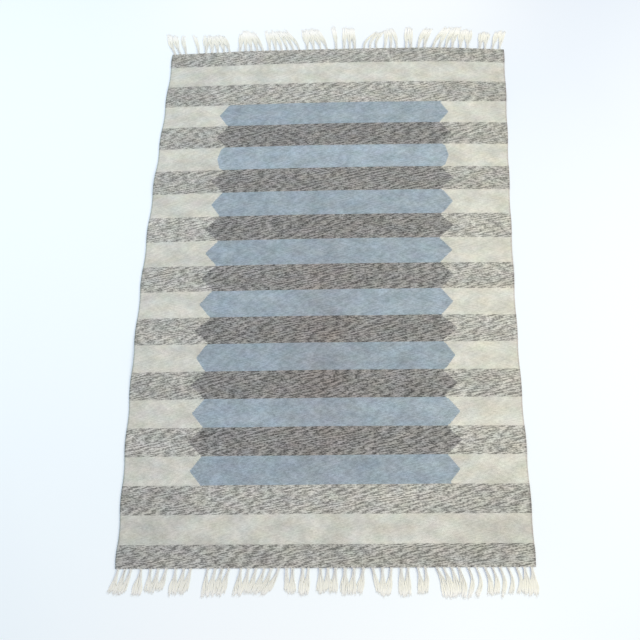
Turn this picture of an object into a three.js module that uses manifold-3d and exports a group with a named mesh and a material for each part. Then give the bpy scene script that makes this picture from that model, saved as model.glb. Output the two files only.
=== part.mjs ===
// Flatwoven wool rug, lying flat on a floor with the fringe of both ends spread out
//
// Millimetres, +Z up. X runs across the rug, and Y runs along it, from the near end to the far end.
// The cloth is one sheet woven in cross stripes. Each end has its own fringe of warp ends.

import * as THREE from "three";
import { mergeVertices } from "three/addons/utils/BufferGeometryUtils.js";
import Module from "manifold-3d";

const wasm = await Module();
wasm.setup();

// Cloth: a sheet of one thickness, between two selvedges
const WIDTH = 1602;
const THICKNESS = 4;
const EDGE_ROUND = 1.2; // how far the edge's middle stands out beyond its two corners

// Stripes, numbered from the near end: even ones are speckled, odd ones are plain at the sides
const STRIPE_COUNT = 21;
const NEAR_BAND = 87;
const FAR_BAND = 81;
const STRIPE_MIDDLE = 120.2; // a stripe at the middle of the rug
const STRIPE_TAPER = 8.5; // how much narrower the last stripes before the bands are
const DRAW_LEFT = 2.8; // plain stripes pull the selvedge in, speckled ones let it out
const DRAW_RIGHT = 1.5;
const DRAW_SHARPNESS = 0.7; // how abruptly the selvedge steps from stripe to stripe
const ENDS_IN = 5; // how much nearer the middle each selvedge is at the two ends

// How the rug lies: it curves sideways a little, and its far end is arched
const BOW = 21.6; // sideways curve of the middle, towards -X
const BOW_POWER = 1.6;
const BOW_SKEW = 0.2; // the curve is deepest a little towards the near end
const SHIFT = -1.4; // sideways place of the two ends
const SLANT = 4.7; // the far end lies this much further to +X, the near end to -X
const TILT = 20; // rise of each end's left corner over its middle, as the stripes fan out
const ARCH = 12.7; // drop of the far end beside its highest point
const ARCH_CENTRE = 0.47; // where the far end is highest, from -1 at the left to 1 at the right
const ARCH_FADE = 1.1;
const DROOP = 12; // how much further the far end's right corner drops
const DROOP_FADE = 6;

// Places where the cloth stands off the floor: their middle, from -1 to 1 both ways, and their half sizes
const RIPPLES = [
  { across: -1.0, along: 0.42, wide: 0.34, long: 0.10, lift: 3.0 },
  { across: -1.0, along: -0.30, wide: 0.28, long: 0.13, lift: 3.6 },
  { across: 1.0, along: 0.74, wide: 0.30, long: 0.09, lift: 2.6 },
  { across: 1.0, along: 0.06, wide: 0.36, long: 0.12, lift: 3.2 },
  { across: 1.0, along: -0.62, wide: 0.24, long: 0.10, lift: 2.4 },
  { across: -0.52, along: 1.0, wide: 0.22, long: 0.10, lift: 2.8 },
  { across: 0.62, along: 1.0, wide: 0.30, long: 0.12, lift: 3.4 },
  { across: 0.15, along: -1.0, wide: 0.26, long: 0.08, lift: 2.4 },
];

// Mesh of the cloth
const CELLS_ACROSS = 14;
const CELLS_PER_STRIPE = 4;

// Fringe: bundles of three strands, rooted in a narrow heading along the cloth's end.
// A bundle is tight at its root, and its strands part towards their tips.
const HEADING_GAP = 0.3;
const HEADING_DEPTH = 5;
const HEADING_HEIGHT = 4;
const BUNDLE_PITCH = 30;
const BUNDLE_SPREAD = 1.6; // how unevenly the bundles are spaced
const STRANDS_PER_BUNDLE = 3;
const ROOT_PITCH = 4.4;
const TIP_PITCH = 6.4;
const ROOT_RADIUS = 2.2; // of a three-sided strand's corners
const TIP_RADIUS = 1.9;
const ROOT_SETBACK = 2.5; // how deep a strand starts inside the heading
const STRAND_STEPS = 3;
const LENGTH_SPREAD = 7;

// Locks of the fringe, from the left selvedge to the right one, in millimetres.
// from and to say where a lock is rooted, lean how far its tips lie to the right of its roots,
// gather how much its tips draw together, curl how far its middle bends out, length its length.
const NEAR_LOCKS = [
  { from: 0, to: 76, lean: -26, gather: 0.1, curl: 0, length: 86 },
  { from: 82, to: 122, lean: -12, gather: 0.4, curl: 0, length: 93 },
  { from: 124, to: 216, lean: -14, gather: 0.3, curl: 0, length: 78 },
  { from: 224, to: 312, lean: -17, gather: 0.35, curl: 0, length: 85 },
  { from: 350, to: 458, lean: -15, gather: 0.25, curl: -3, length: 92 },
  { from: 478, to: 652, lean: -31, gather: 0.25, curl: 0, length: 90 },
  { from: 655, to: 702, lean: 6, gather: 0.2, curl: 0, length: 84 },
  { from: 716, to: 764, lean: -8, gather: 0.38, curl: 0, length: 90 },
  { from: 780, to: 870, lean: -2, gather: 0.2, curl: 0, length: 84 },
  { from: 872, to: 976, lean: -8, gather: 0.25, curl: 0, length: 88 },
  { from: 980, to: 1080, lean: 8, gather: 0.65, curl: 0, length: 92 },
  { from: 1088, to: 1142, lean: 2, gather: 0.35, curl: 0, length: 98 },
  { from: 1150, to: 1208, lean: 2, gather: 0.45, curl: 6, length: 86 },
  { from: 1222, to: 1330, lean: 22, gather: 0.3, curl: 9, length: 97 },
  { from: 1335, to: 1400, lean: -1, gather: 0.05, curl: 15, length: 97 },
  { from: 1402, to: 1455, lean: 12, gather: 0.2, curl: 11, length: 92 },
  { from: 1457, to: 1545, lean: 4, gather: 0.1, curl: 12, length: 92 },
  { from: 1547, to: 1600, lean: 2, gather: 0.1, curl: 4, length: 95 },
];
const FAR_LOCKS = [
  { from: 0, to: 50, lean: -38, gather: 0, curl: -9, length: 112 },
  { from: 52, to: 82, lean: -24, gather: 0.1, curl: -4, length: 102 },
  { from: 112, to: 144, lean: -30, gather: 0.1, curl: 0, length: 106 },
  { from: 152, to: 297, lean: -24, gather: 0.35, curl: 0, length: 98 },
  { from: 318, to: 462, lean: -24, gather: 0.55, curl: 0, length: 112 },
  { from: 466, to: 640, lean: -42, gather: 0.35, curl: 0, length: 110 },
  { from: 648, to: 778, lean: -36, gather: 0.4, curl: 0, length: 112 },
  { from: 790, to: 820, lean: -18, gather: 0.1, curl: 3, length: 126 },
  { from: 830, to: 908, lean: -6, gather: 0.35, curl: 0, length: 118 },
  { from: 922, to: 1016, lean: 42, gather: 0.48, curl: -9, length: 88 },
  { from: 1024, to: 1112, lean: -6, gather: 0.48, curl: 4, length: 104 },
  { from: 1127, to: 1175, lean: 5, gather: 0.5, curl: 0, length: 112 },
  { from: 1187, to: 1241, lean: 33, gather: 0.3, curl: -3, length: 104 },
  { from: 1252, to: 1375, lean: 50, gather: 0.3, curl: -3, length: 112 },
  { from: 1380, to: 1448, lean: 14, gather: 0.25, curl: 0, length: 104 },
  { from: 1476, to: 1528, lean: 16, gather: 0.1, curl: 0, length: 88 },
  { from: 1532, to: 1601, lean: 28, gather: 0.3, curl: 0, length: 98 },
];

const clothMaterial = new THREE.MeshStandardMaterial({ color: 0xa3a8a8, roughness: 0.95, metalness: 0 });
const fringeMaterial = new THREE.MeshStandardMaterial({ color: 0xdedccf, roughness: 0.9, metalness: 0 });

// Numbers from -1 to 1 that look random and are the same every time
function makeScatter(seed) {
  let state = seed;
  return () => {
    state = (state * 1664525 + 1013904223) % 4294967296;
    return state / 2147483648 - 1;
  };
}

// Where each stripe begins along the rug, with the near end first
function stripeWidth(stripe) {
  if (stripe === 0) return NEAR_BAND;
  if (stripe === STRIPE_COUNT - 1) return FAR_BAND;
  const fromMiddle = (stripe - 10) / 9;
  return STRIPE_MIDDLE - STRIPE_TAPER * fromMiddle * fromMiddle;
}

const stripeEdges = [0];
for (let stripe = 0; stripe < STRIPE_COUNT; stripe += 1) {
  stripeEdges.push(stripeEdges[stripe] + stripeWidth(stripe));
}
const LENGTH = stripeEdges[STRIPE_COUNT];

// Distance from the middle of the rug for a place counted in stripes from the near end
function alongRug(row) {
  const stripe = Math.min(Math.floor(row), STRIPE_COUNT - 1);
  const within = row - stripe;
  return stripeEdges[stripe] + within * (stripeEdges[stripe + 1] - stripeEdges[stripe]) - LENGTH / 2;
}

// Step of the selvedge at this row: outwards at speckled stripes and inwards at plain ones
function selvedgeStep(across, row) {
  const wave = Math.tanh(DRAW_SHARPNESS * Math.cos(Math.PI * (row - 0.5))) / Math.tanh(DRAW_SHARPNESS);
  const depth = across < 0 ? DRAW_LEFT : DRAW_RIGHT;
  return depth * wave * Math.abs(across) ** 8;
}

// Plan of the cloth: across runs from -1 to 1, row from 0 to the number of stripes
function planPoint(across, row) {
  const y = alongRug(row);
  const s = (2 * y) / LENGTH;
  const bow = BOW * (1 - s * s) ** BOW_POWER * (1 - BOW_SKEW * s);
  const centre = SHIFT + SLANT * s - bow;
  const halfWidth = WIDTH / 2 - ENDS_IN * s * s + selvedgeStep(across, row);
  const fromTop = across - ARCH_CENTRE;
  const droop = DROOP * Math.max(across, 0) ** 3 * ((1 + s) / 2) ** DROOP_FADE;
  const arch = ARCH * fromTop * fromTop * ((1 + s) / 2) ** ARCH_FADE + droop;
  return { x: centre + across * halfWidth, y: y - TILT * across * s - arch };
}

// Height of the cloth's underside over the floor, zero over most of the rug
function liftAt(across, row) {
  const along = (2 * alongRug(row)) / LENGTH;
  let lift = 0;
  for (const ripple of RIPPLES) {
    const away = Math.hypot((across - ripple.across) / ripple.wide, (along - ripple.along) / ripple.long);
    if (away < 1) {
      lift += ripple.lift * Math.cos((away * Math.PI) / 2) ** 2;
    }
  }
  return lift;
}

// A closed geometry with each corner stored once
function welded(geometry) {
  geometry.deleteAttribute("normal");
  geometry.deleteAttribute("uv");
  const merged = mergeVertices(geometry, 1e-4);
  merged.computeVertexNormals();
  return merged;
}

// Moves every point of a geometry to where a function says
function reshape(geometry, move) {
  const points = geometry.attributes.position;
  for (let i = 0; i < points.count; i += 1) {
    const p = move(points.getX(i), points.getY(i), points.getZ(i));
    points.setXYZ(i, p.x, p.y, p.z);
  }
  return welded(geometry);
}

// Cloth, with rounded selvedges and ends
function makeCloth() {
  const cellsAlong = STRIPE_COUNT * CELLS_PER_STRIPE;
  const sheet = new THREE.BoxGeometry(2, STRIPE_COUNT, 2, CELLS_ACROSS, cellsAlong, 2);
  return reshape(sheet, (across, fromMiddle, level) => {
    const row = fromMiddle + STRIPE_COUNT / 2;
    const p = planPoint(across, row);
    if (level !== 0) {
      if (Math.abs(across) > 0.999) p.x -= Math.sign(across) * EDGE_ROUND;
      if (row < 0.001) p.y += EDGE_ROUND;
      if (row > STRIPE_COUNT - 0.001) p.y -= EDGE_ROUND;
    }
    p.z = liftAt(across, row) + ((level + 1) / 2) * THICKNESS;
    return p;
  });
}

function toSolid(geometry) {
  return new wasm.Manifold(
    new wasm.Mesh({
      numProp: 3,
      vertProperties: geometry.attributes.position.array,
      triVerts: new Uint32Array(geometry.index.array),
    }),
  );
}

function toGeometry(solid) {
  const mesh = solid.getMesh();
  const geometry = new THREE.BufferGeometry();
  geometry.setAttribute("position", new THREE.BufferAttribute(mesh.vertProperties, 3));
  geometry.setIndex(new THREE.BufferAttribute(mesh.triVerts, 1));
  geometry.computeVertexNormals();
  return geometry;
}

// Heading: a narrow strip along the cloth's end, a little apart from it.
// end is -1 for the near end and 1 for the far end.
function makeHeading(end) {
  const strip = new THREE.BoxGeometry(2, 1, 1, CELLS_ACROSS, 1, 1);
  const row = end < 0 ? 0 : STRIPE_COUNT;
  return reshape(strip, (across, outwards, level) => {
    const p = planPoint(across, row);
    const away = outwards * end > 0 ? HEADING_GAP + HEADING_DEPTH : HEADING_GAP;
    p.y += end * away;
    p.z = level > 0 ? HEADING_HEIGHT : 0;
    return p;
  });
}

// One strand: three-sided, flat side down, and bent along its lock's path.
// bundle is the place of its bundle across the rug, and beside its own place in the bundle, -1, 0 or 1.
// A longer or shorter strand of a lock follows the same path and is cut off later or sooner.
function makeStrand(end, lock, bundle, beside, tipPitch, length) {
  const strand = new THREE.CylinderGeometry(TIP_RADIUS, ROOT_RADIUS, 1, 3, STRAND_STEPS);
  const start = planPoint((2 * bundle) / WIDTH - 1, end < 0 ? 0 : STRIPE_COUNT);
  const reach = lock.lean - lock.gather * (bundle - (lock.from + lock.to) / 2);
  return reshape(strand, (side, lengthwise, up) => {
    const done = lengthwise + 0.5;
    const radius = ROOT_RADIUS + done * (TIP_RADIUS - ROOT_RADIUS);
    const t = (done * length) / lock.length;
    const bend = reach * t * (0.6 + 0.4 * t) + lock.curl * Math.sin(Math.PI * t);
    const flare = ROOT_PITCH + (tipPitch - ROOT_PITCH) * t;
    const outwards = HEADING_GAP + HEADING_DEPTH - ROOT_SETBACK + done * length;
    return {
      x: start.x + bend + beside * flare + end * side,
      y: start.y + end * outwards,
      z: up < -0.1 ? 0 : up + radius / 2,
    };
  });
}

// Fringe of one end: the heading with all its strands, joined into one solid
function makeFringe(end, locks, seed) {
  const scatter = makeScatter(seed);
  let fringe = toSolid(makeHeading(end));
  for (const lock of locks) {
    const bundles = Math.max(1, Math.round((lock.to - lock.from) / BUNDLE_PITCH));
    const pitch = (lock.to - lock.from) / bundles;
    const tipPitch = Math.min(TIP_PITCH, (pitch * (1 - lock.gather)) / STRANDS_PER_BUNDLE);
    for (let i = 0; i < bundles; i += 1) {
      const bundle = lock.from + (i + 0.5) * pitch + BUNDLE_SPREAD * scatter();
      for (let beside = -1; beside <= 1; beside += 1) {
        const length = lock.length + LENGTH_SPREAD * scatter();
        fringe = fringe.add(toSolid(makeStrand(end, lock, bundle, beside, tipPitch, length)));
      }
    }
  }
  return toGeometry(fringe);
}

function addPiece(group, name, geometry, material) {
  const mesh = new THREE.Mesh(geometry, material);
  mesh.name = name;
  group.add(mesh);
}

const rug = new THREE.Group();
addPiece(rug, "rug_cloth", makeCloth(), clothMaterial);
addPiece(rug, "fringe_near", makeFringe(-1, NEAR_LOCKS, 11), fringeMaterial);
addPiece(rug, "fringe_far", makeFringe(1, FAR_LOCKS, 29), fringeMaterial);

// The origin is on the floor, under the middle of the whole rug
const middle = new THREE.Box3().setFromObject(rug).getCenter(new THREE.Vector3());
rug.position.set(-middle.x, -middle.y, 0);

export default rug;
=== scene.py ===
# %% [markdown]
# # A flatwoven wool rug on a pale floor
#
# The real rug is one cloth of thick wool weft, beaten down over a hidden warp, in stripes that
# run across it. At both ends the warp goes on as a loose fringe. The CAD model gives its place
# and size. This lesson gives it its yarns, one kind of piece at a time, and then its light.

# %% Load the frame
import math

import bmesh
import bpy
import numpy as np
from mathutils import Matrix, Vector, noise


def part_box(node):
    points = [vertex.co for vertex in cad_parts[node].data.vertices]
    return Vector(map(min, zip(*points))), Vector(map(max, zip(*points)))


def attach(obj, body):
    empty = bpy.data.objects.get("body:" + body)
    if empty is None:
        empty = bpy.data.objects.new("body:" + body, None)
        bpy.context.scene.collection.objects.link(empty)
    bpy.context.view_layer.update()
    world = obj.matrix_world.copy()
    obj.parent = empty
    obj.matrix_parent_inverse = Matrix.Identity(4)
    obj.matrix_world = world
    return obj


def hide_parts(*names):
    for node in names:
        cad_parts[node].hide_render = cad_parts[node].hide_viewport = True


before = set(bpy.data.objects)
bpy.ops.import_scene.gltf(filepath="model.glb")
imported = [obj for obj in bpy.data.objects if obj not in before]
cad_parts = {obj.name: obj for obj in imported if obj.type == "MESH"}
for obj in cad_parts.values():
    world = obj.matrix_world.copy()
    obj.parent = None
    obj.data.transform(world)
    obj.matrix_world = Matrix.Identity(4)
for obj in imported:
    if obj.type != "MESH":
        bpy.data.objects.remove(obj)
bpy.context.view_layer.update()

MM = 0.001

# %% [markdown]
# ## The plan of the cloth
#
# A handwoven cloth is never a true rectangle. Its stripes differ a little in width, each plain
# stripe draws the selvedge in and each speckled one lets it out, and the whole rug lies in a
# slight curve. One could push points about by hand, but then the stripes would no longer follow
# the edge. So the rug is described in its own weave: `across` runs from -1 at the left selvedge
# to 1 at the right one, and `row` counts the stripes from 0 at the near end to 21 at the far
# end. A few formulas say where each place of the weave lies. They are the CAD model's own.

# %% Stripes and lengths
WIDTH, THICKNESS = 1602.0, 4.0
STRIPES = 21
NEAR_BAND, FAR_BAND = 87.0, 81.0
STRIPE_MIDDLE, STRIPE_TAPER = 120.2, 8.5


def stripe_width(stripe):
    if stripe == 0:
        return NEAR_BAND
    if stripe == STRIPES - 1:
        return FAR_BAND
    from_middle = (stripe - 10) / 9
    return STRIPE_MIDDLE - STRIPE_TAPER * from_middle * from_middle


stripe_edges = [0.0]
for stripe in range(STRIPES):
    stripe_edges.append(stripe_edges[-1] + stripe_width(stripe))
LENGTH = stripe_edges[-1]


def along_rug(row):
    stripe = min(int(row), STRIPES - 1)
    return stripe_edges[stripe] + (row - stripe) * stripe_width(stripe) - LENGTH / 2


print("flat cloth:", WIDTH, "by", round(LENGTH, 1), "mm")

# %% How the cloth lies
DRAW_LEFT, DRAW_RIGHT, DRAW_SHARPNESS = 2.8, 1.5, 0.7
ENDS_IN = 5.0
BOW, BOW_POWER, BOW_SKEW = 21.6, 1.6, 0.2
SHIFT, SLANT, TILT = -1.4, 4.7, 20.0
ARCH, ARCH_CENTRE, ARCH_FADE = 12.7, 0.47, 1.1
DROOP, DROOP_FADE = 12.0, 6.0
RIPPLES = [  # across, along, half width, half length, height in millimetres
    (-1.0, 0.42, 0.34, 0.10, 3.0),
    (-1.0, -0.30, 0.28, 0.13, 3.6),
    (1.0, 0.74, 0.30, 0.09, 2.6),
    (1.0, 0.06, 0.36, 0.12, 3.2),
    (1.0, -0.62, 0.24, 0.10, 2.4),
    (-0.52, 1.0, 0.22, 0.10, 2.8),
    (0.62, 1.0, 0.30, 0.12, 3.4),
    (0.15, -1.0, 0.26, 0.08, 2.4),
]


def selvedge_step(across, row):
    wave = math.tanh(DRAW_SHARPNESS * math.cos(math.pi * (row - 0.5))) / math.tanh(DRAW_SHARPNESS)
    depth = DRAW_LEFT if across < 0 else DRAW_RIGHT
    return depth * wave * abs(across) ** 8


def plan_point(across, row):
    y = along_rug(row)
    s = 2 * y / LENGTH
    bow = BOW * max(0.0, 1 - s * s) ** BOW_POWER * (1 - BOW_SKEW * s)
    half_width = WIDTH / 2 - ENDS_IN * s * s + selvedge_step(across, row)
    from_top = across - ARCH_CENTRE
    droop = DROOP * max(across, 0) ** 3 * ((1 + s) / 2) ** DROOP_FADE
    arch = ARCH * from_top * from_top * ((1 + s) / 2) ** ARCH_FADE + droop
    return SHIFT + SLANT * s - bow + across * half_width, y - TILT * across * s - arch


def lift_at(across, row):
    along = 2 * along_rug(row) / LENGTH
    lift = 0.0
    for middle, place, wide, long, height in RIPPLES:
        away = math.hypot((across - middle) / wide, (along - place) / long)
        if away < 1:
            lift += height * math.cos(away * math.pi / 2) ** 2
    return lift


# %% From the weave to the frame
outline = [plan_point(side, quarter / 4) for quarter in range(4 * STRIPES + 1) for side in (-1, 1)]
outline += [plan_point(step / 7, row) for step in range(-7, 8) for row in (0, STRIPES)]
cloth_low, cloth_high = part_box("rug_cloth")
shift_x, shift_y = [
    (cloth_low[axis] + cloth_high[axis]) / 2
    - (min(point[axis] for point in outline) + max(point[axis] for point in outline)) / 2 * MM
    for axis in (0, 1)
]


def in_frame(x, y, z):
    """A point in millimetres from the middle of the weave, as metres in the frame."""
    return Vector((x * MM + shift_x, y * MM + shift_y, z * MM))


print("weave's middle in the frame:", round(shift_x, 4), round(shift_y, 4))

# %% [markdown]
# ## The camera
#
# The photograph looks down on the rug from a little beyond its near end, through a lens of
# ordinary length. Its place was found by laying the stripes' edges and the two selvedges over
# the picture, so it is given with respect to the middle of the weave.

# %% Camera
camera_data = bpy.data.cameras.new("camera")
camera_data.lens = 45
camera_data.sensor_width = 36
camera = bpy.data.objects.new("camera", camera_data)
camera.location = (0.2350 + shift_x, -1.3669 + shift_y, 3.1508)
camera.rotation_euler = [math.radians(angle) for angle in (20.42, 4.407, 1.403)]
bpy.context.scene.collection.objects.link(camera)
bpy.context.scene.camera = camera
print("camera at", [round(value, 3) for value in camera.location])

# %% [markdown]
# ## The dye lots
#
# Yarn is dyed in small lots, so no two stripes are quite the same, and the weaver turns the bars
# by eye, so no two end in quite the same place. A picture of the rug would hold all that, but it
# couldn't be changed. A short table holds it here: for each stripe, how light its field and its
# bar are, where the bar's two tips lie and how long its points are. A stripe without a bar has
# the second value in its middle and the first at its ends. Every point of the cloth keeps these
# values, and how much it lies in the greyer patch near the middle.

# %% Stripe by stripe
LOTS = [  # field, bar, left tip, right tip, point; tips and points are parts of the half width
    (0.92, 0.96, 0.650, 0.690, 0.050),
    (0.94, 1.04, 0.650, 0.690, 0.050),
    (0.94, 1.08, 0.650, 0.690, 0.050),
    (1.04, 1.02, 0.662, 0.676, 0.058),
    (1.08, 1.05, 0.681, 0.694, 0.077),
    (1.04, 1.06, 0.667, 0.692, 0.062),
    (1.00, 1.00, 0.682, 0.687, 0.077),
    (1.04, 1.00, 0.663, 0.681, 0.052),
    (1.04, 1.00, 0.685, 0.700, 0.088),
    (1.06, 1.04, 0.668, 0.682, 0.063),
    (1.02, 1.04, 0.667, 0.689, 0.070),
    (1.02, 1.00, 0.661, 0.685, 0.070),
    (1.08, 0.98, 0.677, 0.693, 0.078),
    (1.02, 1.00, 0.654, 0.692, 0.056),
    (0.98, 1.02, 0.669, 0.696, 0.078),
    (1.00, 1.10, 0.649, 0.670, 0.022),
    (0.96, 0.96, 0.669, 0.688, 0.070),
    (1.02, 1.00, 0.664, 0.671, 0.053),
    (0.94, 1.02, 0.650, 0.690, 0.050),
    (0.98, 1.03, 0.650, 0.690, 0.050),
    (0.95, 0.98, 0.650, 0.690, 0.050),
]
FIRST_BAR, LAST_BAR = 3, 17  # the stripes that have a bar
GREY_ROW, GREY_ROWS, GREY_WIDTH = 7.5, 4.5, 0.17  # the greyer patch's middle and its reach
END_RATE, END_START = 3, 1.6  # how fast a stripe without a bar changes outwards, and from where


def eased(t):
    """From 0 to 1 with a soft start and a soft end."""
    t = min(max(t, 0), 1)
    return t * t * (3 - 2 * t)


def lot_at(row):
    """The five values of a place; on the line between two stripes, the mean of both."""
    near_side = LOTS[min(max(int(row - 1e-4), 0), STRIPES - 1)]
    far_side = LOTS[min(max(int(row + 1e-4), 0), STRIPES - 1)]
    return [(a + b) / 2 for a, b in zip(near_side, far_side)]


def weave_layers(bm):
    """The layers in which each vertex keeps its place, its wool's lot and its bar's tips."""
    for name in ("rug_place", "rug_lot", "rug_tips"):
        bm.verts.layers.float_vector.new(name)
    return [bm.verts.layers.float_vector[name] for name in ("rug_place", "rug_lot", "rug_tips")]


def keep_weave(vert, layers, across, along, row):
    """Writes the layers; across is in millimetres from the middle, along from the near end."""
    field, bar, left_tip, right_tip, point = lot_at(row)
    if not FIRST_BAR <= row <= LAST_BAR + 1:
        field = bar + (field - bar) * eased(abs(across / half) * END_RATE - END_START)
    greyness = math.exp(-((across / half / GREY_WIDTH) ** 2) - ((row - GREY_ROW) / GREY_ROWS) ** 2)
    vert[layers[0]] = (across * MM, along * MM, row)
    vert[layers[1]] = (field, bar, greyness)
    vert[layers[2]] = (left_tip, right_tip, point)


# %% [markdown]
# ## The cloth
#
# The cloth is a sheet about as thick as two yarns. A plane with a Solidify modifier would have
# square edges. Here one grid is doubled, the two sheets are joined along their border, and each
# point is lifted by how far it is from the edge, so the border comes out round, as a weft yarn
# turns there. A vertex layer keeps each point's place in the weave. The wool reads its stripes
# from that layer, so they follow every curve of the cloth, on both of its faces.

# %% A grid in the weave's own measures
COLUMNS, ROWS_PER_STRIPE = 72, 14
EDGE_STEPS = [0, 0.7, 2.2, 6.0]  # the first points in from an edge, in millimetres
grid_rows = STRIPES * ROWS_PER_STRIPE
half = WIDTH / 2
column_marks = [0, 1, 2, 3] + [COLUMNS - 3, COLUMNS - 2, COLUMNS - 1, COLUMNS]
column_places = [-1 + step / half for step in EDGE_STEPS] + [1 - step / half for step in EDGE_STEPS[::-1]]
across_of = np.interp(range(COLUMNS + 1), column_marks, column_places)
row_marks = [0, 1, 2, 3, ROWS_PER_STRIPE]
row_marks += [grid_rows - mark for mark in row_marks[::-1]]
row_places = [step / NEAR_BAND for step in EDGE_STEPS] + [1, STRIPES - 1]
row_places += [STRIPES - step / FAR_BAND for step in EDGE_STEPS[::-1]]
row_of = np.interp(range(grid_rows + 1), row_marks, row_places)

bm = bmesh.new()
bmesh.ops.create_grid(bm, x_segments=COLUMNS, y_segments=grid_rows, size=1)
for vert in bm.verts:
    column = round((vert.co.x + 1) / 2 * COLUMNS)
    line = round((vert.co.y + 1) / 2 * grid_rows)
    border = column in (0, COLUMNS) or line in (0, grid_rows)
    vert.co = (across_of[column], row_of[line], 0 if border else 1)
print("grid:", len(bm.verts), "points,", len(bm.faces), "faces")

# %% Close it with its own underside
under = bmesh.ops.duplicate(bm, geom=bm.verts[:] + bm.edges[:] + bm.faces[:])["geom"]
for item in under:
    if isinstance(item, bmesh.types.BMVert):
        item.co.z = -item.co.z
bmesh.ops.reverse_faces(bm, faces=[item for item in under if isinstance(item, bmesh.types.BMFace)])
seam = [vert for vert in bm.verts if vert.co.z == 0]
bmesh.ops.remove_doubles(bm, verts=seam, dist=1e-6)
print("closed:", all(edge.is_manifold for edge in bm.edges))

# %% Lay it down
PUFF = 0.35  # how unevenly thick the cloth is
BEATEN = 1.3  # how unevenly its rows were beaten
THICKER = 0.25  # how much thicker the speckled yarn is


def cloth_point(across, row, level):
    """Where a place of the weave lies; level is -1 on the floor side, 0 at the border, 1 on top."""
    x, y = plan_point(across, row)
    inside = 1 - across ** 8
    y += BEATEN * inside * noise.noise((x / 210, y / 75, 3.1)) * min(1, row, STRIPES - row)
    lift = lift_at(across, row)
    edge = min(half * (1 - abs(across)), NEAR_BAND * row, FAR_BAND * (STRIPES - row))
    rounding = math.sqrt(1 - (1 - min(edge / 2.2, 1)) ** 2)
    bulk = THICKNESS + PUFF * noise.noise((x / 70, y / 45, 7.7)) + THICKER * math.cos(math.pi * row)
    return in_frame(x, y, lift + THICKNESS / 2 + level * rounding * (bulk if level > 0 else THICKNESS) / 2)


layers = weave_layers(bm)
for vert in bm.verts:
    across, row, level = vert.co
    keep_weave(vert, layers, across * half, along_rug(row) + LENGTH / 2, row)
    vert.co = cloth_point(across, row, level)
print("cloth volume, positive when its faces point out:", round(bm.calc_volume(signed=True), 5))

# %% A map for both faces
flat_map = bm.loops.layers.uv.new("OFBake")
for face in bm.faces:
    face.smooth = True
    for loop in face.loops:
        place = loop.vert[layers[0]]
        loop[flat_map].uv = (place.x / (WIDTH * MM) + 0.5, place.y / (LENGTH * MM))


def finished(bm, name):
    """Writes a bmesh to a new object at the origin and returns the object."""
    mesh = bpy.data.meshes.new(name)
    bm.to_mesh(mesh)
    bm.free()
    made = bpy.data.objects.new(name, mesh)
    bpy.context.scene.collection.objects.link(made)
    triangles = sum(len(polygon.vertices) - 2 for polygon in mesh.polygons)
    print(name, triangles, "triangles")
    return made


cloth = finished(bm, "woven_cloth")

# %% [markdown]
# ## The selvedges
#
# At each selvedge the weft comes out round the last warp yarn and goes back in, so the edge is
# a row of small slanting turns. Modelling one continuous yarn would cost far more faces than
# anyone sees. One bead is made, a squashed ball of a few dozen faces, and it is laid down some
# four hundred times along each side. Each bead keeps its place in the weave, and so its colour.

# %% Many copies of one small blank
def laid_out(blank, count, make_layers):
    """A bmesh that holds count copies of a mesh, its layers, and each copy's vertices."""
    bm = bmesh.new()
    for _ in range(count):
        bm.from_mesh(blank)
    layers = make_layers(bm)
    verts, size = bm.verts[:], len(blank.vertices)
    return bm, layers, [verts[i * size:(i + 1) * size] for i in range(count)]


def make_scatter(seed):
    """Numbers from -1 to 1 that look random and are the same every time."""
    state = seed

    def scatter():
        nonlocal state
        state = (state * 1664525 + 1013904223) % 4294967296
        return state / 2147483648 - 1

    return scatter


# %% Weft turns
TURN_PITCH = 6.0
TURN_SLANT = 0.42  # how far a turn leans along the edge, for each millimetre across it
TURN_SIZE = (2.7, 3.3, 2.15)
TURN_IN, TURN_IN_SPREAD = 2.4, 0.3  # how far a turn's middle lies inside the edge

bead = bmesh.new()
bmesh.ops.create_uvsphere(bead, u_segments=8, v_segments=6, radius=1)
for face in bead.faces:
    face.smooth = True
bead_mesh = bpy.data.meshes.new("weft_turn_blank")
bead.to_mesh(bead_mesh)
bead.free()

turns = round(LENGTH / TURN_PITCH)
bm, layers, beads = laid_out(bead_mesh, 2 * turns, weave_layers)
scatter = make_scatter(5)
for i, verts in enumerate(beads):
    side = -1 if i < turns else 1
    along = (i % turns + 0.5) * LENGTH / turns + 0.5 * scatter()
    row = float(np.interp(along, stripe_edges, range(STRIPES + 1)))
    x, y = plan_point(side, row)
    x -= side * (TURN_IN - TURN_IN_SPREAD * scatter())
    lift = lift_at(side, row) + THICKNESS / 2
    size = 1 + 0.1 * scatter()
    for vert in verts:
        a, b, c = [size * part * whole for part, whole in zip(vert.co, TURN_SIZE)]
        b += TURN_SLANT * a * side
        keep_weave(vert, layers, side * (half - 2) + a, along + 0.6 * b, row)
        vert.co = in_frame(x + a, y + b, max(lift + c, 0.05))
selvedges = finished(bm, "selvedge_turns")

# %% [markdown]
# ## The fringe
#
# The warp ends stand in bundles of a dozen yarns. They are drawn together close to the cloth's
# edge, which leaves a gap between one bundle and the next. Further out they untwist, spread and
# lie over their neighbours. Hair particles could do this, but they aren't a mesh that can be
# exported. So one straight yarn is made from a cone, and each copy is bent along its bundle's
# path. The bundles lean in groups, called locks here. The tables say where each lock is rooted,
# how far its tips lean to the right, how much they gather, how far the middle bends out, and how
# long the lock is, all as in the CAD model. The last column is only for the yarns: how full the
# lock's bundles are.

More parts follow.
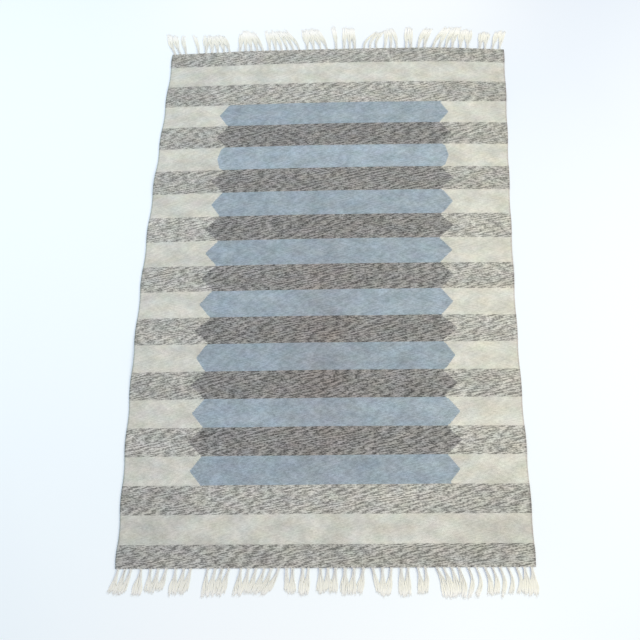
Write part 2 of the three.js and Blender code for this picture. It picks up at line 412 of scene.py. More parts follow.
# %% Locks of the fringe
NEAR_LOCKS = [  # from, to, lean, gather, curl, length, in millimetres; and how full its bundles are
    (0, 76, -26, 0.1, 0, 86, 0.8),
    (82, 122, -12, 0.4, 0, 93, 1.2),
    (124, 216, -14, 0.3, 0, 78, 1.0),
    (224, 312, -17, 0.35, 0, 85, 1.1),
    (350, 458, -15, 0.25, -3, 92, 0.9),
    (478, 652, -31, 0.25, 0, 90, 0.9),
    (655, 702, 6, 0.2, 0, 84, 0.7),
    (716, 764, -8, 0.38, 0, 90, 1.0),
    (780, 870, -2, 0.2, 0, 84, 1.1),
    (872, 976, -8, 0.25, 0, 88, 1.0),
    (980, 1080, 8, 0.65, 0, 92, 1.0),
    (1088, 1142, 2, 0.35, 0, 98, 1.0),
    (1150, 1208, 2, 0.45, 6, 86, 0.8),
    (1222, 1330, 22, 0.3, 9, 97, 1.0),
    (1335, 1400, -1, 0.05, 15, 97, 0.5),
    (1402, 1455, 12, 0.2, 11, 92, 0.7),
    (1457, 1545, 4, 0.1, 12, 92, 0.5),
    (1547, 1600, 2, 0.1, 4, 95, 1.2),
]
FAR_LOCKS = [
    (0, 50, -38, 0, -9, 112, 0.8),
    (52, 82, -24, 0.1, -4, 102, 0.7),
    (112, 144, -30, 0.1, 0, 106, 0.6),
    (152, 297, -24, 0.35, 0, 98, 1.0),
    (318, 462, -24, 0.55, 0, 112, 0.9),
    (466, 640, -42, 0.35, 0, 110, 0.7),
    (648, 778, -36, 0.4, 0, 112, 1.0),
    (790, 820, -18, 0.1, 3, 126, 0.6),
    (830, 908, -6, 0.35, 0, 118, 0.8),
    (922, 1016, 42, 0.48, -9, 88, 0.6),
    (1024, 1112, -6, 0.48, 4, 104, 0.7),
    (1127, 1175, 5, 0.5, 0, 112, 0.9),
    (1187, 1241, 33, 0.3, -3, 104, 0.8),
    (1252, 1375, 50, 0.3, -3, 112, 0.7),
    (1380, 1448, 14, 0.25, 0, 104, 1.1),
    (1476, 1528, 16, 0.1, 0, 88, 1.0),
    (1532, 1601, 28, 0.3, 0, 98, 0.9),
]
BUNDLE_PITCH, BUNDLE_SPREAD, LENGTH_SPREAD = 30.0, 1.6, 7.0
TIP_PITCH = 6.4


def bundles_of(locks, seed):
    """Each bundle: its place, lean, curl, length, its tips' spread, three lengths and fullness."""
    scatter = make_scatter(seed)
    found = []
    for start, end, lean, gather, curl, length, full in locks:
        count = max(1, round((end - start) / BUNDLE_PITCH))
        pitch = (end - start) / count
        spread = min(TIP_PITCH, pitch * (1 - gather) / 3)
        for i in range(count):
            place = start + (i + 0.5) * pitch + BUNDLE_SPREAD * scatter()
            lengths = [length + LENGTH_SPREAD * scatter() for _ in range(3)]
            reach = lean - gather * (place - (start + end) / 2)
            found.append((place, reach, curl, length, spread, lengths, full))
    return found


print("bundles:", len(bundles_of(NEAR_LOCKS, 11)), "near,", len(bundles_of(FAR_LOCKS, 29)), "far")

# %% One straight yarn
def yarn_blank(name, sides, rings):
    """A yarn of radius 1 along +Y, from 0 to 1, with rings of points to bend it at."""
    bm = bmesh.new()
    bmesh.ops.create_cone(bm, cap_ends=True, segments=sides, radius1=1, radius2=1, depth=1)
    lengthwise = [e for e in bm.edges if abs(e.verts[0].co.z - e.verts[1].co.z) > 0.5]
    bmesh.ops.subdivide_edges(bm, edges=lengthwise, cuts=rings, use_grid_fill=True)
    bmesh.ops.rotate(bm, verts=bm.verts, cent=(0, 0, 0), matrix=ROLL)
    bmesh.ops.translate(bm, verts=bm.verts, vec=(0, 0.5, 0))
    for face in bm.faces:
        face.smooth = sides > 3 and len(face.verts) == 4
    mesh = bpy.data.meshes.new(name)
    bm.to_mesh(mesh)
    bm.free()
    return mesh


ROLL = Matrix.Rotation(-math.pi / 2, 3, "X")
thick_yarn = yarn_blank("yarn_blank", 5, 10)
frayed_end = yarn_blank("frayed_end_blank", 3, 2)
print("yarn blank:", len(thick_yarn.vertices), "points; frayed end:", len(frayed_end.vertices))

# %% The path of a yarn
YARNS, FRAYS = 12, 4
ROOT_HALF = 6.5  # half the width of a bundle where it leaves the cloth
NECK_HALF, NECK_HIGH, NECK_AT = 4.4, 1.7, 6.0  # the drawn-in neck: half width, half height, place
OPEN_BY = 70.0  # how far out a bundle is fully open
HEADING = 2.8  # how far out from the cloth a bundle's length is counted
TIP_SHARE, TIP_EXTRA = 1.5, 4.0  # half the width of a full bundle's tips: a share of the spread, and more
YARN_RADIUS = 1.1
LOOSE_WIDE, LOOSE_HIGH = 3.2, 0.8  # half the width and height of a yarn that has untwisted
TURNING = 1.6  # how far the yarns wind round each other along a bundle, in radians
PILED, SETTLED = 1.2, 0.5  # how high a loose yarn may lie on others, and how much of it goes by the tip
SQUASHED = 0.7  # how much of its height an open yarn may lose
RIPPLE_FADE = 30.0  # how far out a bundle has come down from a ripple of the cloth
TUCKED_IN = 3.0  # how far a yarn starts inside the cloth's edge


def bundle_path(end, bundle, distance):
    """The middle of a bundle at a distance from the cloth's end, and how far it is on its way."""
    place, reach, curl, length = bundle[:4]
    x, y = plan_point(2 * place / WIDTH - 1, 0 if end < 0 else STRIPES)
    t = max(0, (distance - HEADING) / length)
    bend = reach * t * (0.6 + 0.4 * t) + curl * math.sin(math.pi * t)
    return x + bend, y + end * distance, t


def yarn_centre(end, bundle, way, distance):
    """The middle of a yarn at a distance from the cloth's end."""
    x, y, t = bundle_path(end, bundle, distance)
    rank, angle, wander, phase, layer = way
    drawn = eased(distance / NECK_AT)
    open_now = eased((distance - NECK_AT) / OPEN_BY)
    half_tip = (TIP_SHARE * bundle[4] + TIP_EXTRA) * bundle[6]
    turn = angle + TURNING * t
    neck = NECK_HALF * (0.45 * math.cos(turn) + 0.55 * rank)
    aside = (1 - drawn) * ROOT_HALF * rank + drawn * ((1 - open_now) * neck + open_now * half_tip * rank)
    aside += wander * open_now * math.sin(phase + 5 * t)
    ripple = lift_at(2 * bundle[0] / WIDTH - 1, 0 if end < 0 else STRIPES)
    ripple *= 1 - eased(distance / RIPPLE_FADE)
    bound = NECK_HIGH + YARN_RADIUS + NECK_HIGH * math.sin(turn)
    loose = (LOOSE_HIGH + PILED * layer) * (1 - SETTLED * t)
    height = (1 - drawn) * THICKNESS / 2 + drawn * ((1 - open_now) * bound + open_now * loose)
    return x + aside, y, max(height + ripple, YARN_RADIUS * (1 - SQUASHED * open_now))


# %% The yarns of all bundles
def yarn_layers(bm):
    """The layers in which each vertex keeps its place on its yarn and the yarn's own shade."""
    bm.verts.layers.float_vector.new("yarn_place")
    bm.verts.layers.float.new("yarn_shade")
    return bm.verts.layers.float_vector["yarn_place"], bm.verts.layers.float["yarn_shade"]


def yarns_of(bundles, scatter, painted_shade_left, painted_shade_right):
    """Each yarn as its bundle, its way along it, its length and its shade."""
    found = []
    for bundle in bundles:
        # painted shade: a fringe's yarns darken from its left end towards its right end
        painted_shade = painted_shade_left + (painted_shade_right - painted_shade_left) * bundle[0] / WIDTH
        for number in range(YARNS):
            rank = 2 * number / (YARNS - 1) - 1 + 0.12 * scatter()
            way = (rank, 2.4 * number + scatter(), 1.6 + scatter(), 3 * scatter(), abs(scatter()))
            length = bundle[5][number * 3 // YARNS] - 3 + 6 * scatter()
            found.append((bundle, way, length, painted_shade + scatter()))
    return found


# %% Lay out the yarns
LOWEST = 0.02  # how far the lowest point stays over the floor
FLUFF_POWER = 1.3  # above 1, a yarn untwists late
CLOSES_AT, CLOSES_OVER = 0.84, 0.16  # where a yarn starts to close to its tip, and over what part
NARROWER, FLATTER, LOWER = 0.4, 0.8, 0.6  # what a yarn loses as it closes


def lay_yarns(end, yarns):
    """A bmesh of the yarns, each bent along its bundle; it untwists outwards and closes at its tip."""
    bm, (place_layer, shade_layer), copies = laid_out(thick_yarn, len(yarns), yarn_layers)
    for verts, (bundle, way, length, shade) in zip(copies, yarns):
        loose_wide = LOOSE_WIDE * (0.4 + 0.6 * bundle[6])
        for vert in verts:
            side, done, up = vert.co
            distance = -TUCKED_IN + done * (length + HEADING + TUCKED_IN)
            x, y, z = yarn_centre(end, bundle, way, distance)
            fluffed = max(done, 0) ** FLUFF_POWER * (1 + 0.12 * math.sin(9 * done + 3 * shade))
            closing = eased((done - CLOSES_AT) / CLOSES_OVER)
            wide = (YARN_RADIUS + (loose_wide - YARN_RADIUS) * fluffed) * (1 - NARROWER * closing)
            high = (YARN_RADIUS + (LOOSE_HIGH - YARN_RADIUS) * fluffed) * (1 - FLATTER * closing)
            z *= 1 - LOWER * closing
            vert[place_layer] = (side, up, distance * MM)
            vert[shade_layer] = shade
            vert.co = in_frame(x + end * side * wide, y, max(z + up * high, LOWEST))
    return bm


# %% [markdown]
# ### The frayed ends
#
# Each cut end opens into single threads. A fringe card with a picture of threads would be
# cheaper, but it can't be lit or exported well. Here four thin three-sided threads, flat side up,
# start inside each yarn, taper, and spread out past its tip.

# %% Lay out the frayed ends
FRAY_ROOT = 16  # how far back inside its yarn a thread starts
FRAY_LONGER, FRAY_LONGER_SPREAD = 5, 6  # how far it reaches past the yarn's tip
FRAY_PITCH, FRAY_SPREAD = 1.7, 1.8  # how far a yarn's threads stand apart
FRAY_RADIUS, FRAY_TAPER = 0.75, 0.65
FRAY_GROOVE = 0.3  # how much of the yarn's groove a thread shows


def lay_frays(end, yarns, scatter):
    """A bmesh of the threads at the yarns' tips."""
    bm, (place_layer, shade_layer), copies = laid_out(frayed_end, FRAYS * len(yarns), yarn_layers)
    for i, verts in enumerate(copies):
        bundle, way, length, shade = yarns[i // FRAYS]
        apart = (i % FRAYS - (FRAYS - 1) / 2) * FRAY_PITCH + FRAY_SPREAD * scatter()
        longer = FRAY_LONGER + FRAY_LONGER_SPREAD * scatter()
        for vert in verts:
            side, done, up = vert.co
            distance = HEADING + length - FRAY_ROOT + done * (FRAY_ROOT + longer)
            x, y, z = yarn_centre(end, bundle, way, distance)
            x += apart * done * (0.5 + done)
            radius = FRAY_RADIUS * (1 - FRAY_TAPER * done)
            z = max(z * (1 - 0.5 * done), radius) + up * radius
            vert[place_layer] = (FRAY_GROOVE * side, FRAY_GROOVE * up, distance * MM)
            vert[shade_layer] = shade
            vert.co = in_frame(x + end * side * radius, y, max(z, LOWEST))
    return bm


# %% Both fringes
def make_fringe(name, end, locks, seed, painted_shade_left, painted_shade_right):
    """One fringe; painted shade darkens its yarn by so much at its left and at its right end."""
    bundles = bundles_of(locks, seed)
    scatter = make_scatter(seed + 1)
    yarns = yarns_of(bundles, scatter, painted_shade_left, painted_shade_right)
    bm = lay_yarns(end, yarns)
    bm_frays = lay_frays(end, yarns, scatter)
    frays = bpy.data.meshes.new("loose_ends")
    bm_frays.to_mesh(frays)
    bm_frays.free()
    bm.from_mesh(frays)
    return finished(bm, name)


# painted shade: the near fringe darkens towards its right, and the far one is darker all along
fringe_near = make_fringe("fringe_yarns_near", -1, NEAR_LOCKS, 11, 0.3, 1.3)
fringe_far = make_fringe("fringe_yarns_far", 1, FAR_LOCKS, 29, 1.1, 1.5)

# %% [markdown]
# ## Wiring helpers
#
# Materials here are built from nodes, by short functions: one sets a socket or links it, one
# does sums, one mixes colours, and one makes a node group with named inputs and outputs.

# %% Sockets, sums and groups
def put(tree, socket, value):
    if isinstance(value, bpy.types.NodeSocket):
        tree.links.new(value, socket)
    else:
        socket.default_value = value


def add(tree, kind, settings=None, **inputs):
    made = tree.nodes.new(kind)
    for name, value in (settings or {}).items():
        setattr(made, name, value)
    for name, value in inputs.items():
        put(tree, made.inputs[name.replace("_", " ")], value)
    return made


def sums(tree, operation, *values):
    made = tree.nodes.new("ShaderNodeMath")
    made.operation = operation
    for socket, value in zip(made.inputs, values):
        put(tree, socket, value)
    return made.outputs[0]


def vector(tree, x=0.0, y=0.0, z=0.0):
    return add(tree, "ShaderNodeCombineXYZ", X=x, Y=y, Z=z).outputs[0]


def cloudy(tree, x, y, detail=0.0):
    """Soft noise from 0 to 1 that changes over a distance of about 1 in x and in y."""
    made = add(tree, "ShaderNodeTexNoise", {"noise_dimensions": "2D"}, Vector=vector(tree, x, y), Scale=1.0)
    made.inputs["Detail"].default_value = detail
    return made.outputs[0]


def patchy(tree, x, x_size, y, y_size, detail=0.0):
    """The same noise, given the size of its patches each way."""
    return cloudy(tree, sums(tree, "DIVIDE", x, x_size), sums(tree, "DIVIDE", y, y_size), detail)


def chance(tree, x, y):
    """A number from 0 to 1 that is new for each pair of whole numbers."""
    made = add(tree, "ShaderNodeTexWhiteNoise", {"noise_dimensions": "2D"}, Vector=vector(tree, x, y))
    return made.outputs["Value"]


def blend(tree, share, first, second, way="MIX"):
    made = tree.nodes.new("ShaderNodeMix")
    made.data_type, made.blend_type = "RGBA", way
    for socket, value in zip((made.inputs[0], made.inputs[6], made.inputs[7]), (share, first, second)):
        put(tree, socket, value)
    return made.outputs[2]


def between(tree, value, low, high, smooth=True):
    made = add(tree, "ShaderNodeMapRange", Value=value)
    made.interpolation_type = "SMOOTHSTEP" if smooth else "LINEAR"
    made.inputs["From Min"].default_value = low
    made.inputs["From Max"].default_value = high
    return made.outputs[0]


def new_group(name, takes, gives):
    tree = bpy.data.node_groups.new(name, "ShaderNodeTree")
    for title, default in takes.items():
        socket = tree.interface.new_socket(title, in_out="INPUT", socket_type="NodeSocketFloat")
        socket.default_value = default
    for title in gives:
        tree.interface.new_socket(title, in_out="OUTPUT", socket_type="NodeSocketFloat")
    return tree, tree.nodes.new("NodeGroupInput").outputs, tree.nodes.new("NodeGroupOutput").inputs


def use_group(tree, group, **inputs):
    made = tree.nodes.new("ShaderNodeGroup")
    made.node_tree = group
    for name, value in inputs.items():
        put(tree, made.inputs[name.replace("_", " ")], value)
    return made.outputs


# %% [markdown]
# ## The speckle of plied yarn
#
# The speckled stripes are woven with a yarn plied from a light and a dark strand. Where the dark
# strand comes to the top it makes a short slanting dash, and the dashes of the next row fall
# somewhere else. Plain noise would give round blots. So each row of weft gets its own phase, and
# the dash is a wave along the row whose crest leans by the height of the row. The same group,
# with weaker colours, gives the faint streaks of the plain wool.

# %% Group: plied yarn
plied, take, give = new_group(
    "plied_yarn",
    {"Across": 0.0, "Along": 0.0, "Pick": 0.0046, "Dash": 0.055, "Lean": 0.38, "Grain": 1.8, "Seed": 0.0},
    ["Fleck", "Strand"],
)
rows = sums(plied, "DIVIDE", take["Along"], take["Pick"])
wobble = cloudy(plied, sums(plied, "DIVIDE", take["Across"], 0.06), sums(plied, "MULTIPLY", rows, 0.3))
rows = sums(plied, "MULTIPLY_ADD", wobble, 0.6, rows)
row_number = sums(plied, "ADD", sums(plied, "FLOOR", rows), take["Seed"])
in_row = sums(plied, "SUBTRACT", sums(plied, "FRACT", rows), 0.5)
slow_rows, quick_rows = [sums(plied, "MULTIPLY", row_number, rate) for rate in (0.22, 3.7)]
drift = cloudy(plied, sums(plied, "DIVIDE", take["Across"], 0.25), slow_rows)
jitter = cloudy(plied, sums(plied, "DIVIDE", take["Across"], 0.055), quick_rows)
twist = sums(plied, "MULTIPLY_ADD", chance(plied, row_number, 7.5), 0.15, 0.925)
phase = sums(plied, "MULTIPLY", sums(plied, "DIVIDE", take["Across"], take["Dash"]), twist)
phase = sums(plied, "MULTIPLY_ADD", drift, 1.0, phase)
phase = sums(plied, "MULTIPLY_ADD", jitter, 0.8, phase)
phase = sums(plied, "MULTIPLY_ADD", chance(plied, row_number, 0.5), 1.1, phase)
phase = sums(plied, "SUBTRACT", phase, sums(plied, "MULTIPLY", in_row, take["Lean"]))
wave = sums(plied, "COSINE", sums(plied, "MULTIPLY", phase, 2 * math.pi))
strength = chance(plied, sums(plied, "FLOOR", sums(plied, "ADD", phase, 0.5)), row_number)
strength = sums(plied, "MULTIPLY_ADD", strength, 0.24, 0.52)
strands = patchy(plied, take["Across"], 0.009, take["Along"], 0.0035, detail=1.0)
grain = sums(plied, "MULTIPLY_ADD", sums(plied, "SUBTRACT", strands, 0.5), take["Grain"], 0.15)
fine = sums(plied, "MULTIPLY_ADD", chance(plied, row_number, 3.5), 5.0, sums(plied, "MULTIPLY", phase, 2.3))
fine = sums(plied, "COSINE", sums(plied, "MULTIPLY", fine, 2 * math.pi))
grain = sums(plied, "MULTIPLY_ADD", fine, 0.13, grain)
put(plied, give["Fleck"], sums(plied, "MULTIPLY_ADD", between(plied, wave, -0.9, 0.65), strength, grain))
put(plied, give["Strand"], strands)
print("plied yarn:", len(plied.nodes), "nodes")

# %% [markdown]
# ## The relief of the weave
#
# In a weft-faced cloth each row of weft shows as a line of small ovals, where it passes over
# every other warp yarn, and the next row's ovals sit in between. They are about 3 mm high, far
# too many to model, so they are a bump. The group puts out a height in metres.

# %% Group: weft rows over the warp
relief, take, give = new_group(
    "weft_relief",
    {"Across": 0.0, "Along": 0.0, "Pick": 0.003, "Warp": 0.004},
    ["Height"],
)
rows = sums(relief, "DIVIDE", take["Along"], take["Pick"])
row_number = sums(relief, "FLOOR", rows)
in_row = sums(relief, "MULTIPLY", sums(relief, "SUBTRACT", sums(relief, "FRACT", rows), 0.5), 2.0)
over = sums(relief, "ADD", sums(relief, "DIVIDE", take["Across"], take["Warp"]), row_number)
over = sums(relief, "ABSOLUTE", sums(relief, "SINE", sums(relief, "MULTIPLY", over, math.pi / 2)))
round_row = sums(relief, "SUBTRACT", 1.0, sums(relief, "MULTIPLY", in_row, in_row))
bead_height = sums(relief, "MULTIPLY", sums(relief, "SQRT", sums(relief, "MAXIMUM", round_row, 0.0)), over)
hairs = patchy(relief, take["Across"], 0.004, take["Along"], 0.0015, detail=3.0)
hair_height = sums(relief, "MULTIPLY", hairs, 0.0005)
put(relief, give["Height"], sums(relief, "MULTIPLY_ADD", bead_height, 0.0009, hair_height))

# %% [markdown]
# ## The stripes and the pointed bars
#
# The design is a plain, old one: cross stripes of two wools, and on the inner stripes a bar of
# another colour that ends in a point at both sides. It isn't drawn as a picture. The row number
# says which stripe a place is in, and a bar is where the distance from its middle is less than
# its half length, which grows by the same amount towards the middle of the stripe.

# %% Group: a bar with pointed ends
bars, take, give = new_group(
    "pointed_bar",
    {"Across": 0.0, "Row": 0.0, "Left tip": 0.65, "Right tip": 0.69, "Point": 0.043, "Picks": 20.0},
    ["Mask"],
)
within = sums(bars, "MULTIPLY", sums(bars, "FRACT", take["Row"]), take["Picks"])
pick = sums(bars, "DIVIDE", sums(bars, "ADD", sums(bars, "FLOOR", within), 0.5), take["Picks"])
from_middle = sums(bars, "ABSOLUTE", sums(bars, "MULTIPLY_ADD", pick, 2.0, -1.0))
back = sums(bars, "MULTIPLY", from_middle, take["Point"])
left_of = sums(bars, "LESS_THAN", take["Across"], sums(bars, "SUBTRACT", back, take["Left tip"]))
right_of = sums(bars, "GREATER_THAN", take["Across"], sums(bars, "SUBTRACT", take["Right tip"], back))
inside = sums(bars, "SUBTRACT", 1.0, sums(bars, "MAXIMUM", left_of, right_of))
barred = sums(bars, "GREATER_THAN", take["Row"], FIRST_BAR)
barred = sums(bars, "MULTIPLY", barred, sums(bars, "LESS_THAN", take["Row"], LAST_BAR + 1))
put(bars, give["Mask"], sums(bars, "MULTIPLY", inside, barred))

# %% Colours of the wools
def two_tones(colour, apart):
    """The lighter and the darker strand of a yarn, from its colour and how far they stand apart."""
    return [(*[min(part * (1 + side * apart), 1) for part in colour], 1) for side in (1, -1)]


CREAM_LIGHT, CREAM_DARK = two_tones((0.564, 0.568, 0.508), 0.15)
BLUE_LIGHT, BLUE_DARK = two_tones((0.293, 0.356, 0.402), 0.22)
PALE_LIGHT, PALE_DARK = two_tones((0.375, 0.376, 0.344), 0.58)
DEEP_LIGHT, DEEP_DARK = two_tones((0.219, 0.219, 0.211), 0.70)
GREYED = (0.93, 0.87, 0.855, 1)  # what the greyer patch leaves of the colour

# %% The wool: where a point lies
wool = bpy.data.materials.new("wool_weave")
wool.use_nodes = True
tree = wool.node_tree
tree.nodes.clear()


def kept_layer(tree, name):
    """The three parts of a vertex layer."""
    kept = add(tree, "ShaderNodeAttribute", {"attribute_name": name})
    return add(tree, "ShaderNodeSeparateXYZ", Vector=kept.outputs["Vector"]).outputs


place, lot, tips = [kept_layer(tree, name) for name in ("rug_place", "rug_lot", "rug_tips")]
across, along, row = place["X"], place["Y"], place["Z"]
stripe = sums(tree, "FLOOR", sums(tree, "MINIMUM", row, STRIPES - 0.001))
plain = sums(tree, "MODULO", stripe, 2.0)

flecks = use_group(tree, plied, Across=across, Along=along)
streaks = use_group(tree, plied, Across=across, Along=along, Dash=0.045, Lean=0.12, Grain=2.1, Seed=57.0)
wobbly = sums(tree, "MULTIPLY_ADD", sums(tree, "SUBTRACT", flecks["Strand"], 0.5), 0.004, across)
part_way = sums(tree, "DIVIDE", wobbly, half * MM)
bar_ends = {"Left_tip": tips["X"], "Right_tip": tips["Y"], "Point": tips["Z"]}
bar = use_group(tree, bars, Across=part_way, Row=row, **bar_ends)["Mask"]

# %% The wool: four yarns in their stripes
clouds = sums(tree, "SUBTRACT", patchy(tree, across, 0.045, along, 0.016, detail=2.0), 0.5)
streak = sums(tree, "SUBTRACT", streaks["Fleck"], 0.5)
mottled = sums(tree, "MULTIPLY_ADD", streak, 0.55, sums(tree, "MULTIPLY_ADD", clouds, 0.75, 0.5))
even = sums(tree, "MULTIPLY_ADD", streak, 0.5, sums(tree, "MULTIPLY_ADD", clouds, 0.2, 0.5))
cream = blend(tree, even, CREAM_LIGHT, CREAM_DARK)
blue = blend(tree, mottled, BLUE_LIGHT, BLUE_DARK)
pale = blend(tree, flecks["Fleck"], PALE_LIGHT, PALE_DARK)
deep = blend(tree, flecks["Fleck"], DEEP_LIGHT, DEEP_DARK)
field_wool = blend(tree, plain, pale, cream)
bar_wool = blend(tree, lot["Z"], blend(tree, plain, deep, blue), GREYED, "MULTIPLY")

# %% The wool: lots and tints
LOT_CLOUDS = 0.4  # how much the lightness changes in wide clouds
WARM_TINT, BLUE_TINT = 0.13, 0.14  # how much the red and the blue change in clouds of their own

wide_clouds = patchy(tree, across, 0.1, along, 0.06, detail=1.0)
lightness = sums(tree, "MULTIPLY_ADD", bar, sums(tree, "SUBTRACT", lot["Y"], lot["X"]), lot["X"])
clouded = sums(tree, "MULTIPLY_ADD", wide_clouds, LOT_CLOUDS, 1 - LOT_CLOUDS / 2)
lightness = sums(tree, "MULTIPLY", lightness, clouded)
colour = add(tree, "ShaderNodeVectorMath", {"operation": "SCALE"}, Scale=lightness)
put(tree, colour.inputs[0], blend(tree, bar, field_wool, bar_wool))

warmer = patchy(tree, across, 0.08, along, -0.04, detail=1.0)
bluer = patchy(tree, along, 0.045, across, 0.09, detail=1.0)
reds = sums(tree, "MULTIPLY_ADD", warmer, WARM_TINT, 1 - WARM_TINT / 2)
blues = sums(tree, "MULTIPLY_ADD", bluer, BLUE_TINT, 1 - BLUE_TINT / 2)
tint = add(tree, "ShaderNodeVectorMath", {"operation": "MULTIPLY"})
put(tree, tint.inputs[0], colour.outputs[0])
put(tree, tint.inputs[1], vector(tree, reds, 1.0, blues))
colour = tint.outputs[0]

# %% [markdown]
# ### The edges
#
# Between the last rows of weft the pale roots of the fringe show here and there, and along the two
# selvedges runs a thin line of painted shade. Both are too small to model, so they are colour.

# %% The wool: its edges
ROOT_SHOWS, ROOT_COLOUR = 0.75, (0.68, 0.67, 0.62, 1)
# painted shade: a thin dark line along each selvedge, blue-grey at the left and mauve-grey at the right
LEFT_EDGE_SHADE, RIGHT_EDGE_SHADE = (0.64, 0.71, 0.71, 1), (0.76, 0.71, 0.76, 1)
EDGE_SHADE_FROM, EDGE_SHADE_AT = 0.008, 0.001  # metres in from the selvedge

from_end = sums(tree, "MINIMUM", along, sums(tree, "SUBTRACT", LENGTH * MM, along))
roots = cloudy(tree, sums(tree, "DIVIDE", across, 0.011), sums(tree, "MULTIPLY", stripe, 3.0))
bare = sums(tree, "MULTIPLY", sums(tree, "SUBTRACT", roots, 0.45), 0.026)
bare = between(tree, sums(tree, "SUBTRACT", bare, from_end), 0.0, 0.003)
colour = blend(tree, sums(tree, "MULTIPLY", bare, ROOT_SHOWS), colour, ROOT_COLOUR)

# painted shade: the wool darkens over its last few millimetres towards each selvedge
from_side = sums(tree, "SUBTRACT", half * MM, sums(tree, "ABSOLUTE", across))
edge_shade = blend(tree, sums(tree, "GREATER_THAN", across, 0.0), LEFT_EDGE_SHADE, RIGHT_EDGE_SHADE)
colour = blend(tree, between(tree, from_side, EDGE_SHADE_FROM, EDGE_SHADE_AT), colour, edge_shade, "MULTIPLY")

# %% The wool: its surface
height = use_group(tree, relief, Across=across, Along=along)["Height"]
bump = add(tree, "ShaderNodeBump", Height=height, Strength=0.6, Distance=1.0)
skin = add(tree, "ShaderNodeBsdfPrincipled", Base_Color=colour, Normal=bump.outputs[0])
skin.inputs["Roughness"].default_value = 0.95
skin.inputs["Specular IOR Level"].default_value = 0.15
skin.inputs["Sheen Weight"].default_value = 0.08
skin.inputs["Sheen Roughness"].default_value = 0.6
add(tree, "ShaderNodeOutputMaterial", Surface=skin.outputs[0])
for piece in (cloth, selvedges):
    piece.data.materials.append(wool)
print("wool:", len(tree.nodes), "nodes")

# %% [markdown]
# ## The fringe's yarn
#
# Undyed warp yarn, cream, each yarn a little lighter or darker than its neighbour. It is greyer
# by the cloth, partly dirt and partly painted shade where the bundle is drawn tight, and palest at
# its open tips; towards the right of the near fringe and along the far one, painted shade darkens it.
# Two plies twist round each other, which the relief shows as a groove, darkened by painted shade.

# %% Warp yarn
warp = bpy.data.materials.new("warp_yarn")
warp.use_nodes = True
tree = warp.node_tree
tree.nodes.clear()
place = add(tree, "ShaderNodeAttribute", {"attribute_name": "yarn_place"})
parts = add(tree, "ShaderNodeSeparateXYZ", Vector=place.outputs["Vector"])
yarn_tone = add(tree, "ShaderNodeAttribute", {"attribute_name": "yarn_shade"}).outputs["Fac"]
turn = sums(tree, "MULTIPLY", parts.outputs["Z"], 2 * math.pi / 0.009)
ridge = sums(
    tree,
    "ADD",
    sums(tree, "MULTIPLY", parts.outputs["Y"], sums(tree, "COSINE", turn)),
    sums(tree, "MULTIPLY", parts.outputs["X"], sums(tree, "SINE", turn)),
)
ridge = sums(tree, "ABSOLUTE", ridge)
tone = between(tree, yarn_tone, -1.0, 3.0, smooth=False)
clean = blend(tree, tone, (0.89, 0.89, 0.80, 1), (0.79, 0.79, 0.70, 1))
# partly dirt, partly painted shade: the yarn is greyer near the cloth, where its bundle is drawn tight
dirt_and_shade_by_cloth = blend(tree, tone, (0.80, 0.80, 0.76, 1), (0.70, 0.70, 0.66, 1))
colour = blend(tree, between(tree, parts.outputs["Z"], 0.0, 0.07), dirt_and_shade_by_cloth, clean)
colour = blend(tree, between(tree, parts.outputs["Z"], 0.065, 0.11), colour, (0.95, 0.95, 0.91, 1))
# painted shade: the colour darkens in the groove between the two plies
groove_shade = sums(tree, "MULTIPLY", sums(tree, "SUBTRACT", 1.0, ridge), 0.15)
colour = blend(tree, groove_shade, colour, (0.6, 0.59, 0.55, 1))
bump = add(tree, "ShaderNodeBump", Height=sums(tree, "MULTIPLY", ridge, 0.0004), Strength=0.5, Distance=1.0)
skin = add(tree, "ShaderNodeBsdfPrincipled", Base_Color=colour, Normal=bump.outputs[0])
skin.inputs["Roughness"].default_value = 0.9
skin.inputs["Specular IOR Level"].default_value = 0.15
skin.inputs["Sheen Weight"].default_value = 0.08
add(tree, "ShaderNodeOutputMaterial", Surface=skin.outputs[0])
for piece in (fringe_near, fringe_far):
    piece.data.materials.append(warp)

# %% [markdown]
# ## Floor and light
#
# The floor is a wide white sheet with painted shade, a little bluer and darker towards the right and
# the far end, and painted light just past the rug's two ends. The light is soft and comes from all
# round, with a wide warm lamp high on the right and a smaller cool one over the left of the far end.

# %% Floor
bm = bmesh.new()
bmesh.ops.create_circle(bm, cap_ends=True, segments=64, radius=9)
bmesh.ops.translate(bm, verts=bm.verts, vec=(0, 0, -0.0003))
floor = finished(bm, "studio_floor")

# %% Floor paint
# painted shade: the floor's white falls off, bluer and darker, towards the right and the far end
LEFT_WHITE, RIGHT_WHITE = (0.91, 0.99, 1.0, 1), (0.71, 0.77, 0.85, 1)
NEAR_END_WHITE, FAR_END_WHITE = (0.97, 1.0, 1.0, 1), (0.97, 0.98, 0.95, 1)

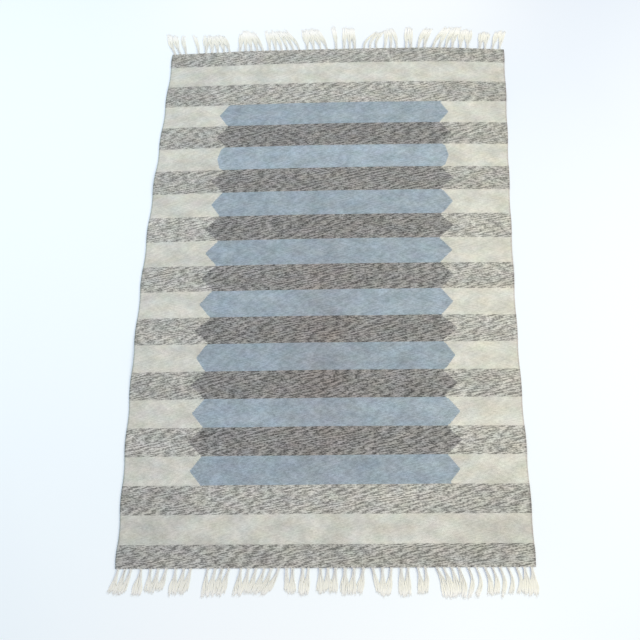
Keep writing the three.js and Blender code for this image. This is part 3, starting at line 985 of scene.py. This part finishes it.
paint = bpy.data.materials.new("floor_paint")
paint.use_nodes = True
tree = paint.node_tree
skin = tree.nodes["Principled BSDF"]
spot = add(tree, "ShaderNodeTexCoord").outputs["Object"]
slope = add(tree, "ShaderNodeVectorMath", {"operation": "DOT_PRODUCT"})
put(tree, slope.inputs[0], spot)
slope.inputs[1].default_value = (0.9, 0.45, 0.0)
away = between(tree, slope.outputs["Value"], -1.5, 1.5, smooth=False)
floor_painted_shade = blend(tree, away, LEFT_WHITE, RIGHT_WHITE)
where = add(tree, "ShaderNodeSeparateXYZ", Vector=spot).outputs
# painted light: the floor is lighter just past the rug's two ends
past_ends = between(tree, sums(tree, "ABSOLUTE", where["Y"]), 0.9, 1.5)
midway = between(tree, sums(tree, "ABSOLUTE", where["X"]), 1.3, 0.4)
lighter = sums(tree, "MULTIPLY", sums(tree, "MULTIPLY", past_ends, midway), 0.5)
ends = blend(tree, between(tree, where["Y"], -1.0, 1.0), NEAR_END_WHITE, FAR_END_WHITE)
put(tree, skin.inputs["Base Color"], blend(tree, lighter, floor_painted_shade, ends))
skin.inputs["Roughness"].default_value = 0.9
skin.inputs["Specular IOR Level"].default_value = 0.1
floor.data.materials.append(paint)

# %% Light
world = bpy.data.worlds.new("studio")
world.use_nodes = True
background = world.node_tree.nodes["Background"]
background.inputs["Color"].default_value = (0.857, 0.861, 1.0, 1)
background.inputs["Strength"].default_value = 0.72
bpy.context.scene.world = world


def soft_lamp(name, place, aim, size, power, colour):
    data = bpy.data.lights.new(name, "AREA")
    data.size, data.energy, data.color = size, power, colour
    lamp = bpy.data.objects.new(name, data)
    lamp.location = place
    lamp.rotation_euler = (Vector(aim) - Vector(place)).to_track_quat("-Z", "Y").to_euler()
    bpy.context.scene.collection.objects.link(lamp)
    print(name, "at", place, "with", power, "W")


soft_lamp("warm_side", (3.3, -0.2, 2.6), (0, 0, 0), 2.5, 110, (1.0, 0.925, 0.647))
soft_lamp("cool_far_end", (-1.5, 1.4, 3.3), (-1.5, 1.41, 0), 1.6, 37, (0.87, 1.0, 0.99))
bpy.context.scene.view_settings.view_transform = "Standard"

# %% [markdown]
# ## The pieces on the rug
#
# Each piece rides on the rug's one body, and the CAD parts that it stands for are hidden.

# %% Bind the pieces to the frame
for piece, stands_for, finish in (
    (cloth, ["rug_cloth"], "wool_weave"),
    (selvedges, [], "wool_weave"),
    (fringe_near, ["fringe_near"], "warp_yarn"),
    (fringe_far, ["fringe_far"], "warp_yarn"),
):
    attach(piece, "root")
    if stands_for:
        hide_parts(*stands_for)
